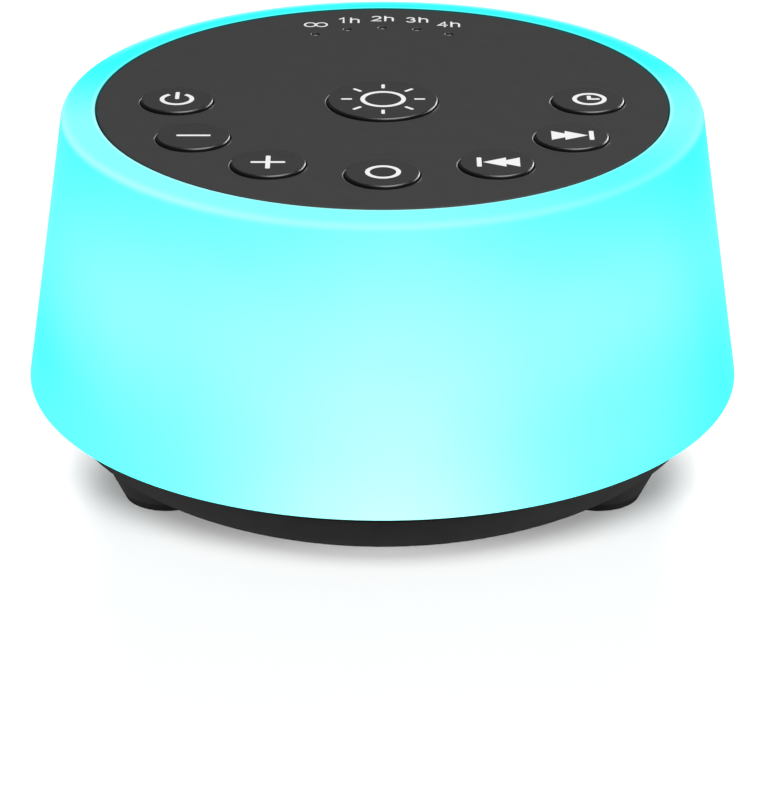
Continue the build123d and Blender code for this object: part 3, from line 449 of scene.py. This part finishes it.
def key_plastic():
    """Black plastic, matte on the keys' flat tops and glossy on their rounded edges, with painted
    shade that makes the edges darker than the tops.
    """
    shader = Shader("key_plastic")
    normal = shader.tree.nodes.new("ShaderNodeNewGeometry").outputs["Normal"]
    upward = shader.axes(normal)[2]
    flat = shader.spread(upward, 0.0, 1.0, KEY_FLAT_NONE, KEY_FLAT_FULL, "SMOOTHSTEP")
    shader.set(
        Base_Color=shader.mix(
            flat, rgb(*KEY_EDGE_SHADE_COLOUR), shader.patchy(KEY_TOP_DARK, KEY_TOP_LIGHT)
        ),
        Roughness=shader.total(
            shader.grainy(KEY_EDGE_ROUGH), shader.times(flat, KEY_TOP_ROUGHER)
        ),
        Specular_IOR_Level=shader.spread(flat, KEY_EDGE_SPECULAR, KEY_TOP_SPECULAR, 0.0, 1.0),
    )
    return shader.material


# ---------------------------------------------------------------- one finish for each slot

PLATE_DARK = (0.050, 0.050, 0.051)
PLATE_LIGHT = (0.053, 0.053, 0.054)

# Each finish has a name, a dark and a light colour, and its lowest and highest roughness
finishes = {
    "diffuser": diffuser(),
    "plate_black": finish(
        "plate_plastic", PLATE_DARK, PLATE_LIGHT, (0.52, 0.62), Specular_IOR_Level=0.2
    ),
    "key_black": key_plastic(),
    "base_black": bowl_plastic(),
    "foot_rubber": finish(
        "rubber",
        (0.008, 0.008, 0.009),
        (0.011, 0.011, 0.011),
        (0.70, 0.82),
        relief=0.03,
        Specular_IOR_Level=0.0,
    ),
    "plunger_grey": finish("grey_nylon", (0.33, 0.33, 0.34), (0.38, 0.38, 0.39), (0.45, 0.55)),
    "black_nylon": finish("black_nylon", (0.018, 0.018, 0.020), (0.024, 0.024, 0.026), (0.45, 0.60)),
    "white_nylon": finish("white_nylon", (0.80, 0.79, 0.74), (0.87, 0.86, 0.82), (0.40, 0.50)),
    "white_plastic": finish("white_core", (0.84, 0.84, 0.83), (0.90, 0.90, 0.89), (0.45, 0.55)),
    "clear_plastic": finish("light_pipe", (0.16, 0.16, 0.17), (0.24, 0.24, 0.25), (0.25, 0.35)),
    "circuit_board": finish(
        "solder_mask", (0.015, 0.15, 0.06), (0.025, 0.20, 0.08), (0.25, 0.40), patch=900.0
    ),
    "white_board": finish("white_solder_mask", (0.82, 0.83, 0.82), (0.88, 0.89, 0.88), (0.25, 0.35)),
    "led_white": finish(
        "light_package", (0.90, 0.86, 0.62), (0.95, 0.92, 0.75), (0.25, 0.35), patch=900.0
    ),
    "steel": finish(
        "plated_steel", (0.55, 0.55, 0.56), (0.66, 0.66, 0.67), (0.25, 0.40), Metallic=1.0
    ),
    "screw_steel": finish(
        "zinc_plated_steel", (0.42, 0.42, 0.44), (0.52, 0.52, 0.54), (0.28, 0.42), Metallic=1.0
    ),
    "aluminium_can": finish(
        "drawn_aluminium", (0.72, 0.72, 0.73), (0.82, 0.82, 0.83), (0.20, 0.32), Metallic=1.0
    ),
    "ferrite": finish(
        "ferrite", (0.045, 0.045, 0.050), (0.065, 0.065, 0.070), (0.55, 0.75), relief=0.05
    ),
    "copper": finish(
        "copper_wire", (0.62, 0.30, 0.16), (0.75, 0.40, 0.24), (0.22, 0.36), Metallic=1.0
    ),
    "cone_paper": finish(
        "pressed_paper",
        (0.035, 0.035, 0.036),
        (0.060, 0.060, 0.060),
        (0.80, 0.92),
        patch=1500.0,
        relief=0.06,
    ),
    "cloth": finish(
        "woven_cloth",
        (0.015, 0.015, 0.016),
        (0.035, 0.035, 0.036),
        (0.85, 0.95),
        patch=2500.0,
        relief=0.08,
    ),
    "foam": finish(
        "foam",
        (0.035, 0.035, 0.035),
        (0.060, 0.060, 0.060),
        (0.88, 0.96),
        patch=2000.0,
        relief=0.10,
    ),
    "cable_grey": finish("flat_cable", (0.40, 0.40, 0.42), (0.50, 0.50, 0.52), (0.45, 0.60)),
    "cable_red": finish("wire_insulation", (0.48, 0.03, 0.02), (0.58, 0.05, 0.04), (0.40, 0.55)),
}

for part in frame["record"]["subparts"]:
    node = nodes[part["node"]]
    node.data.materials.clear()
    node.data.materials.append(finishes[part["material_slot"]])

# ---------------------------------------------------------------- ink

INK_THICKNESS = 0.020 * MM
INK_STEP = 0.002 * MM
INK = finish(
    "white_ink",
    (0.90, 0.90, 0.90),
    (0.95, 0.95, 0.95),
    (0.45, 0.60),
    patch=1500.0,
    # The ink glows a little: painted light that brightens the print
    Emission_Color=rgb(1.0, 1.0, 1.0),
    Emission_Strength=0.05,
)
ARC_STEPS = 64
GLYPH_ARC_STEPS = 12
CORNER_STEPS = 6
MITRE_LEAST = 0.5


def arc(centre, width, height, start, end, steps=GLYPH_ARC_STEPS):
    """Points of an elliptical arc, from one angle to another, in degrees."""
    angles = [math.radians(start + (end - start) * k / steps) for k in range(steps + 1)]
    return [
        (centre[0] + 0.5 * width * math.cos(a), centre[1] + 0.5 * height * math.sin(a))
        for a in angles
    ]


class Print:
    """Ink on a flat face: shapes in millimetres round a centre.

    Where shapes cross, each lies a hair higher than the one before, so that no two faces meet."""

    def __init__(self, name, centre):
        self.name = name
        self.centre = centre
        self.mesh = bmesh.new()
        self.top = INK_THICKNESS

    def vertices(self, points, z):
        """New vertices at these points, all at one height."""
        return [self.mesh.verts.new((x * MM, y * MM, z)) for x, y in points]

    def polygon(self, points):
        """A flat shape with these corners."""
        low, top = self.vertices(points, 0.0), self.vertices(points, self.top)
        self.mesh.faces.new(top)
        self.mesh.faces.new(low[::-1])
        for k in range(len(points)):
            n = (k + 1) % len(points)
            self.mesh.faces.new((low[k], low[n], top[n], top[k]))
        self.top += INK_STEP

    def band(self, outer, inner):
        """The strip between two closed lines of as many points."""
        low_out, low_in = self.vertices(outer, 0.0), self.vertices(inner, 0.0)
        top_out, top_in = self.vertices(outer, self.top), self.vertices(inner, self.top)
        for k in range(len(outer)):
            n = (k + 1) % len(outer)
            self.mesh.faces.new((top_out[k], top_out[n], top_in[n], top_in[k]))
            self.mesh.faces.new((low_in[k], low_in[n], low_out[n], low_out[k]))
            self.mesh.faces.new((low_out[k], low_out[n], top_out[n], top_out[k]))
            self.mesh.faces.new((top_in[k], top_in[n], low_in[n], low_in[k]))
        self.top += INK_STEP

    def oval(self, centre, width, height, stroke):
        """A closed ring. Its width and height are measured over the ink."""
        outer = arc(centre, width, height, 0.0, 360.0, ARC_STEPS)[:-1]
        inner = arc(centre, width - 2 * stroke, height - 2 * stroke, 0.0, 360.0, ARC_STEPS)[:-1]
        self.band(outer, inner)

    def line(self, points, stroke):
        """A stroke of even width along a line, with square ends."""
        points = [Vector(p) for p in points]
        left, right = [], []
        for k, point in enumerate(points):
            before = (point - points[k - 1]).normalized() if k else None
            after = (points[k + 1] - point).normalized() if k + 1 < len(points) else None
            along = ((before or after) + (after or before)).normalized()
            across = Vector((-along.y, along.x))
            mitre = 1.0 / max(MITRE_LEAST, along.dot(before or after))
            left.append(tuple(point + 0.5 * stroke * mitre * across))
            right.append(tuple(point - 0.5 * stroke * mitre * across))
        self.polygon(right + left[::-1])

    def bar(self, start, end, width, rounding):
        """A straight stroke from start to end, with a quarter turn at each of its corners."""
        start, end = Vector(start), Vector(end)
        along = (end - start).normalized()
        across = Vector((-along.y, along.x))
        half = 0.5 * width
        reach = min(rounding, half)
        points = []
        for tip, forward, side, first in (
            (end, 1, -1, -90),
            (end, 1, 1, 0),
            (start, -1, 1, 90),
            (start, -1, -1, 180),
        ):
            centre = tip - along * forward * reach + across * side * (half - reach)
            for k in range(CORNER_STEPS + 1):
                a = math.radians(first + 90.0 * k / CORNER_STEPS)
                points.append(tuple(centre + reach * (math.cos(a) * along + math.sin(a) * across)))
        self.polygon(points)

    def done(self, body):
        """Makes the piece and lets it ride on a body."""
        bmesh.ops.recalc_face_normals(self.mesh, faces=self.mesh.faces)
        data = bpy.data.meshes.new(self.name)
        self.mesh.to_mesh(data)
        self.mesh.free()
        data.transform(Matrix.Translation(self.centre))
        data.materials.append(INK)
        piece = new_object(self.name, data)
        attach(piece, body)


# ---------------------------------------------------------------- symbols on the keys

# In millimetres, round the middle of each symbol
MIDDLE = (0.0, 0.0)
STROKE = 0.65
BAR_WIDTH = 0.58
RING = 4.94
CORNER = 0.2
SIGN_REACH = 2.4


def print_power(ink):
    """A ring with a gap behind, and a bar that comes through it."""
    half_gap = 32.0
    bar_end = 2.85
    middle = RING - STROKE
    points = arc(MIDDLE, middle, middle, 90.0 + half_gap, 450.0 - half_gap, ARC_STEPS)
    ink.line(points, STROKE)
    ink.bar(MIDDLE, (0.0, bar_end), BAR_WIDTH, CORNER)


def print_minus(ink):
    """A level bar."""
    ink.bar((-SIGN_REACH, 0.0), (SIGN_REACH, 0.0), BAR_WIDTH, CORNER)


def print_plus(ink):
    """A level bar and one across it, both wider than the minus sign's."""
    level_width = 0.62
    upright_width = 0.66
    ink.bar((-SIGN_REACH, 0.0), (SIGN_REACH, 0.0), level_width, CORNER)
    ink.bar((0.0, -SIGN_REACH), (0.0, SIGN_REACH), upright_width, CORNER)


def print_ring(ink):
    """A plain ring."""
    ink.oval(MIDDLE, RING, RING, STROKE)


def print_skip(ink, side):
    """Two triangles and a bar. They point right when side is 1, and left when it is -1."""
    half_height = 1.72
    length = 3.2
    bar_x = 2.60
    bar_width = 0.66
    for back in (-3.02, -1.12):
        ink.polygon(
            [(side * back, -half_height), (side * (back + length), 0.0), (side * back, half_height)]
        )
    ink.bar((side * bar_x, -half_height), (side * bar_x, half_height), bar_width, CORNER)


def print_clock(ink):
    """A ring with two hands at a right angle."""
    hands_x = -0.05
    ink.oval(MIDDLE, RING, RING, STROKE)
    ink.line([(hands_x, 1.3), (hands_x, 0.0), (1.45, 0.0)], BAR_WIDTH)


def print_sun(ink):
    """A large ring with rays round it."""
    ring = 6.56
    ring_stroke = 0.66
    rays = 8
    ray_start = 4.45
    ray_end = 6.05
    ray_width = 0.50
    ink.oval(MIDDLE, ring, ring, ring_stroke)
    for k in range(rays):
        a = math.radians(360.0 * k / rays)
        ray = Vector((math.cos(a), math.sin(a)))
        ink.bar(ray_start * ray, ray_end * ray, ray_width, CORNER)


# Each symbol, and how far right of its key's middle it is printed
symbols = {
    "power": (print_power, 0.0),
    "volume_down": (print_minus, 0.05),
    "volume_up": (print_plus, -0.05),
    "mode": (print_ring, 0.08),
    "previous": (lambda ink: print_skip(ink, -1), 0.20),
    "next": (lambda ink: print_skip(ink, 1), 0.17),
    "timer": (print_clock, 0.20),
    "light": (print_sun, 0.09),
}
for name, (draw, to_right) in symbols.items():
    symbol = Print("symbol_" + name, key_centre(name) + Vector((to_right * MM, 0.0, 0.0)))
    draw(symbol)
    symbol.done("key_" + name)

# ---------------------------------------------------------------- timer marks on the plate

# An endless loop and four hours, behind the indicators. Sizes and places are in millimetres.
GLYPH_STROKE = 0.31
DIGIT_WIDTH = 1.55
LETTER_WIDTH = 1.46
GLYPH_HEIGHT = 2.38
LETTER_GAP = 0.42
HOUR_MARKS = (("1", -5.20, 35.76), ("2", 0.0, 36.56), ("3", 5.22, 35.96), ("4", 10.02, 33.90))

LOOP_X = -10.1
LOOP_Y = 33.76
LOOP_OFFSET = 0.86
LOOP_WIDTH = 1.93
LOOP_HEIGHT = 2.08
LOOP_STROKE = 0.29


def glyph_strokes():
    """The lines of each digit and of the letter, from the lower left corner of its cell."""
    half = 0.5 * GLYPH_STROKE
    top = GLYPH_HEIGHT - half
    right = DIGIT_WIDTH - half
    leg = LETTER_WIDTH - half
    bowl = right - half
    hook = arc((0.5 * DIGIT_WIDTH, top - 0.5 * bowl), bowl, bowl, 165.0, -35.0)
    shoulder = arc((0.5 * LETTER_WIDTH, 1.18), leg - half, 1.16, 165.0, 0.0)
    return {
        "1": [[(0.30, 1.72), (0.76, 1.98), (1.00, top + half), (1.00, 0.0)]],
        "2": [hook + [(half, half), (DIGIT_WIDTH, half)]],
        "3": [
            arc((0.5 * DIGIT_WIDTH - 0.05, top - 0.53), bowl - 0.15, 1.06, 160.0, -85.0),
            arc((0.5 * DIGIT_WIDTH - 0.02, half + 0.60), bowl, 1.20, 85.0, -160.0),
        ],
        "4": [[(1.12, 0.0), (1.12, top), (half, 0.80), (DIGIT_WIDTH, 0.80)]],
        "h": [
            [(half, 0.0), (half, GLYPH_HEIGHT)],
            [(half, 0.95)] + shoulder + [(leg, 0.0)],
        ],
    }


glyphs = glyph_strokes()
for digit, x, y in HOUR_MARKS:
    mark = Print("mark_" + digit + "h", Vector((x * MM, y * MM, plate_top_z)))
    for glyph, start in ((digit, 0.0), ("h", DIGIT_WIDTH + LETTER_GAP)):
        left = start - 0.5 * (DIGIT_WIDTH + LETTER_GAP + LETTER_WIDTH)
        for stroke in glyphs[glyph]:
            mark.line([(px + left, py - 0.5 * GLYPH_HEIGHT) for px, py in stroke], GLYPH_STROKE)
    mark.done("housing")

loop = Print("mark_loop", Vector((LOOP_X * MM, LOOP_Y * MM, plate_top_z)))
for side in (-1, 1):
    loop.oval((side * LOOP_OFFSET, 0.0), LOOP_WIDTH, LOOP_HEIGHT, LOOP_STROKE)
loop.done("housing")

# ---------------------------------------------------------------- rounded edges of the plate's holes

KEY_GAP = 0.15 * MM
LIP_WIDTH = 0.22 * MM
LIP_HEIGHT = 0.004 * MM
LIP_DEPTH = 0.28 * MM
LIP_STEPS = 6
LIP_LEAN = 0.97
LIP_ROUGH = (0.27, 0.31)
plate_edge = finish("plate_edge", PLATE_DARK, PLATE_LIGHT, LIP_ROUGH)


def lip(name, x, y, hole_radius):
    """A thin ring on the edge of a hole in the plate. Its normals lean into the hole, more and
    more towards the edge, so that it takes the light as a rounded edge does."""
    # The ring's section: radius, height over the plate, and how far the normal leans inwards
    profile = []
    for k in range(LIP_STEPS + 1):
        part = k / LIP_STEPS
        profile.append((hole_radius + LIP_WIDTH * (1.0 - part), LIP_HEIGHT, LIP_LEAN * part))
    profile.append((hole_radius, -LIP_DEPTH, 1.0))
    profile.append((hole_radius + LIP_WIDTH, -LIP_DEPTH, 0.0))

    mesh = bmesh.new()
    rings = []
    normals = []
    for k in range(ARC_STEPS):
        a = 2.0 * math.pi * k / ARC_STEPS
        out = Vector((math.cos(a), math.sin(a), 0.0))
        ring = []
        for radius, height, lean in profile:
            ring.append(mesh.verts.new(Vector((x, y, plate_top_z + height)) + radius * out))
            normals.append(Vector((0.0, 0.0, math.sqrt(1.0 - lean * lean))) - lean * out)
        rings.append(ring)
    for k, ring in enumerate(rings):
        after = rings[(k + 1) % ARC_STEPS]
        for i in range(len(profile)):
            j = (i + 1) % len(profile)
            mesh.faces.new((ring[i], ring[j], after[j], after[i]))
    bmesh.ops.recalc_face_normals(mesh, faces=mesh.faces)
    for face in mesh.faces:
        face.smooth = True

    data = bpy.data.meshes.new(name)
    mesh.to_mesh(data)
    mesh.free()
    data.normals_split_custom_set_from_vertices(normals)
    data.materials.append(plate_edge)
    piece = new_object(name, data)
    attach(piece, "housing")


for name in symbols:
    centre = key_centre(name)
    lip("lip_" + name, centre.x, centre.y, key_top_radius(name) + KEY_GAP)

# The indicators' holes lie on an arc, and the middle one is at its back
INDICATORS = 5
INDICATOR_RADIUS = 0.60 * MM
INDICATOR_ARC_RADIUS = 19.0 * MM
INDICATOR_ARC_Y = plate_radius - 27.65 * MM
INDICATOR_PITCH = 16.0
for k in range(INDICATORS):
    a = math.radians(90.0 - INDICATOR_PITCH * (k - 0.5 * (INDICATORS - 1)))
    x = INDICATOR_ARC_RADIUS * math.cos(a)
    y = INDICATOR_ARC_Y + INDICATOR_ARC_RADIUS * math.sin(a)
    lip("lip_indicator_%d" % (k + 1), x, y, INDICATOR_RADIUS)

# ---------------------------------------------------------------- floor

FLOOR_RADIUS = 6.0
FLOOR_SEGMENTS = 128

floor_mesh = bmesh.new()
bmesh.ops.create_circle(floor_mesh, cap_ends=True, segments=FLOOR_SEGMENTS, radius=FLOOR_RADIUS)
floor_data = bpy.data.meshes.new("floor")
floor_mesh.to_mesh(floor_data)
floor_mesh.free()
floor = new_object("floor", floor_data)
paper = finish(
    "floor_paper", (0.93, 0.93, 0.93), (0.95, 0.95, 0.95), (0.8, 0.9), patch=5.0, grain=800.0
)
floor.data.materials.append(paper)

# The paper is clear from below, so that the underside can be looked at
paper_tree = paper.node_tree
from_below = paper_tree.nodes.new("ShaderNodeNewGeometry").outputs["Backfacing"]
opaque = paper_tree.nodes.new("ShaderNodeMath")
opaque.operation = "SUBTRACT"
opaque.inputs[0].default_value = 1.0
paper_tree.links.new(from_below, opaque.inputs[1])
paper_tree.links.new(opaque.outputs[0], paper_tree.nodes["Principled BSDF"].inputs["Alpha"])

# ---------------------------------------------------------------- light

DRUM_MIDDLE = Vector((0.0, 0.0, 0.5 * (drum_low.z + drum_high.z)))


def group_of(name, objects):
    """A collection for light linking."""
    group = bpy.data.collections.new(name)
    for o in objects:
        group.objects.link(o)
    return group


def light_only(light, *objects):
    """Lets a light reach these objects and no others."""
    light.light_linking.receiver_collection = group_of("lit_by_" + light.name, objects)


def shaded_only_by(light, *objects):
    """Lets these objects and no others block a light."""
    light.light_linking.blocker_collection = group_of("shading_" + light.name, objects)


def soft_box(name, direction, distance, width, height, power):
    """A rectangular area light that looks at the drum from a direction. Its power is in watts."""
    data = bpy.data.lights.new(name, "AREA")
    data.shape = "RECTANGLE"
    data.size = width
    data.size_y = height
    data.energy = power
    lamp = new_object(name, data)
    away = Vector(direction).normalized()
    lamp.location = DRUM_MIDDLE + distance * away
    lamp.rotation_euler = away.to_track_quat("Z", "Y").to_euler()
    return lamp


# Plain white behind everything, and an even grey light from all round
WORLD_LIGHT = 0.08
WORLD_SEEN = 1.0
world = bpy.data.worlds.new("studio")
bpy.context.scene.world = world
world.use_nodes = True
sky = world.node_tree.nodes["Background"]
seen = world.node_tree.nodes.new("ShaderNodeLightPath").outputs["Is Camera Ray"]
brightness = world.node_tree.nodes.new("ShaderNodeMapRange")
brightness.inputs["To Min"].default_value = WORLD_LIGHT
brightness.inputs["To Max"].default_value = WORLD_SEEN
world.node_tree.links.new(seen, brightness.inputs["Value"])
world.node_tree.links.new(brightness.outputs["Result"], sky.inputs["Strength"])
sky.inputs["Color"].default_value = rgb(1.0, 1.0, 1.0)

# The drum's own light falls on the plate and on nothing else
light_only(nodes["diffuser_shell"], nodes["top_plate"])

# Low boxes all round and one over the camera light the paper, so that the shadow stays short
PAPER_BOX_DISTANCE = 3.0
PAPER_BOX_WIDTH = 1.6
PAPER_BOX_HEIGHT = 0.74
for name, direction, power in (
    ("paper_box_camera", (0.0, -0.70, 0.70), 52.0),
    ("paper_box_left", (-0.683, -0.683, 0.26), 98.0),
    ("paper_box_right", (0.683, -0.683, 0.26), 98.0),
    ("paper_box_back", (0.0, 0.966, 0.26), 245.0),
):
    paper_box = soft_box(
        name, direction, PAPER_BOX_DISTANCE, PAPER_BOX_WIDTH, PAPER_BOX_HEIGHT, power
    )
    light_only(paper_box, floor)

# The bowl is lighter at its sides. Its underside has a light of its own, under the paper
BOWL_BOX_DISTANCE = 1.0
BOWL_BOX_WIDTH = 0.6
BOWL_BOX_HEIGHT = 0.4
bowl_nodes = [nodes[n] for n in nodes if n == "base_shell" or n.startswith("foot_pad")]
grille_nodes = [nodes[n] for n in ("grille_cloth", "base_screws")]
for name, direction, power in (
    ("bowl_box_left", (-0.98, -0.15, 0.10), 18.0),
    ("bowl_box_right", (0.98, -0.15, 0.10), 21.0),
    ("bowl_box_back", (0.0, 0.97, 0.20), 6.0),
):
    bowl_box = soft_box(name, direction, BOWL_BOX_DISTANCE, BOWL_BOX_WIDTH, BOWL_BOX_HEIGHT, power)
    light_only(bowl_box, *bowl_nodes)
under_box = soft_box("under_box", (0.0, 0.0, -1.0), 1.0, 0.4, 0.4, 10.0)
light_only(under_box, *bowl_nodes, *grille_nodes)
shaded_only_by(under_box, *bowl_nodes)

# An overhead box lights the plate, the keys, the holes' edges and the prints evenly
lips = [o for o in bpy.data.objects if o.name.startswith("lip_")]
keys = [o for n, o in nodes.items() if n.startswith("key_")] + [nodes["indicator_lenses"]]
prints = [o for o in bpy.data.objects if o.name.startswith(("symbol_", "mark_"))]
overhead_box = soft_box("overhead_box", (0.20, -0.25, 0.95), 1.0, 0.9, 0.9, 11.7)
light_only(overhead_box, nodes["top_plate"], *keys, *lips, *prints)

# The keys' rounded edges mirror two boxes on the right in front, and one on the right behind
KEY_BOX_DISTANCE = 2.0
KEY_BOX_SHIFT = Vector((0.92, 0.0, 0.0))
for name, direction, width, height, power in (
    ("key_box_front", (0.0, -0.66, 0.75), 2.0, 2.0, 42.0),
    ("key_box_top", (0.0, -0.02, 1.0), 2.0, 1.4, 30.0),
):
    key_box = soft_box(name, direction, KEY_BOX_DISTANCE, width, height, power)
    key_box.location += KEY_BOX_SHIFT
    light_only(key_box, *keys)
key_box_back = soft_box("key_box_back", (0.68, 0.72, 0.18), KEY_BOX_DISTANCE, 1.5, 0.8, 34.0)
light_only(key_box_back, *keys)

# The left edges of the plate's holes catch a light from behind to the right
lip_box = soft_box("lip_box", (0.42, 0.82, 0.38), 1.0, 0.50, 0.60, 4.0)
light_only(lip_box, *lips)
shaded_only_by(lip_box, nodes["top_plate"])

# ---------------------------------------------------------------- camera

CAMERA_PLACE = (0.00022, -0.5218, 0.24685)
CAMERA_PITCH = 65.37
LENS = 176.79
SENSOR_WIDTH = 36.0
CLIP_START = 0.01
CLIP_END = 50.0

camera_data = bpy.data.cameras.new("camera")
camera_data.lens = LENS
camera_data.sensor_width = SENSOR_WIDTH
camera_data.clip_start = CLIP_START
camera_data.clip_end = CLIP_END
camera = new_object("camera", camera_data)
camera.location = CAMERA_PLACE
camera.rotation_euler = (math.radians(CAMERA_PITCH), 0.0, 0.0)
bpy.context.scene.camera = camera

bpy.context.scene.view_settings.view_transform = "Standard"
